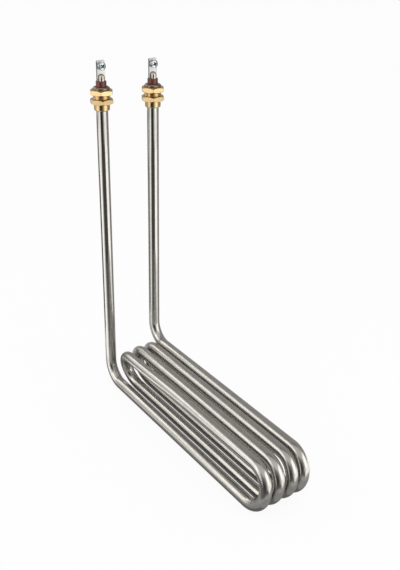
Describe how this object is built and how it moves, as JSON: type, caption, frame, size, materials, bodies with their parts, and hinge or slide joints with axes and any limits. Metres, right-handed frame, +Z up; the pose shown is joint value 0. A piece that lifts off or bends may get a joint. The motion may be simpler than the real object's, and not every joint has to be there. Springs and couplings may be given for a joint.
{
  "type": "fryer heating element",
  "caption": "Tubular immersion heater for a deep fryer: a steel tube in upright loops, with long legs, brass screwed fittings and screw terminals.",
  "frame": {"origin": "on the surface that the lower runs of the coil stand on, under the middle of the bounding box", "axes": "+Z up along the legs, towards the wire terminals; -Y towards the front bends of the loops; the loops follow one another along +X"},
  "size_m": [0.0636, 0.2462, 0.3061],
  "materials": {
    "tube_stainless": "satin, drawn along the tube",
    "resistance_wire": "dull",
    "magnesia": "pressed powder",
    "brass": "turned, bright",
    "ring_steel": "turned, slightly dulled",
    "seal_silicone": "matte",
    "insulator": "dark red-brown, semi-gloss",
    "pin_nickel": "nickel-plated",
    "tab_zinc": "bright zinc",
    "screw_zinc": "bright zinc"
  },
  "bodies": {
    "root": {"sheath_tube": "tube_stainless", "heating_coil": "resistance_wire", "magnesia_fill": "magnesia", "left_nipple": "brass", "left_lower_nut": "brass", "left_upper_nut": "brass", "left_end_ring": "ring_steel", "left_end_seal": "seal_silicone", "left_insulator": "insulator", "left_terminal_pin": "pin_nickel", "left_terminal_tab": "tab_zinc", "left_screw_washer": "screw_zinc", "left_terminal_screw": "screw_zinc", "right_nipple": "brass", "right_lower_nut": "brass", "right_upper_nut": "brass", "right_end_ring": "ring_steel", "right_end_seal": "seal_silicone", "right_insulator": "insulator", "right_terminal_pin": "pin_nickel", "right_terminal_tab": "tab_zinc", "right_screw_washer": "screw_zinc", "right_terminal_screw": "screw_zinc"}
  },
  "joints": []
}
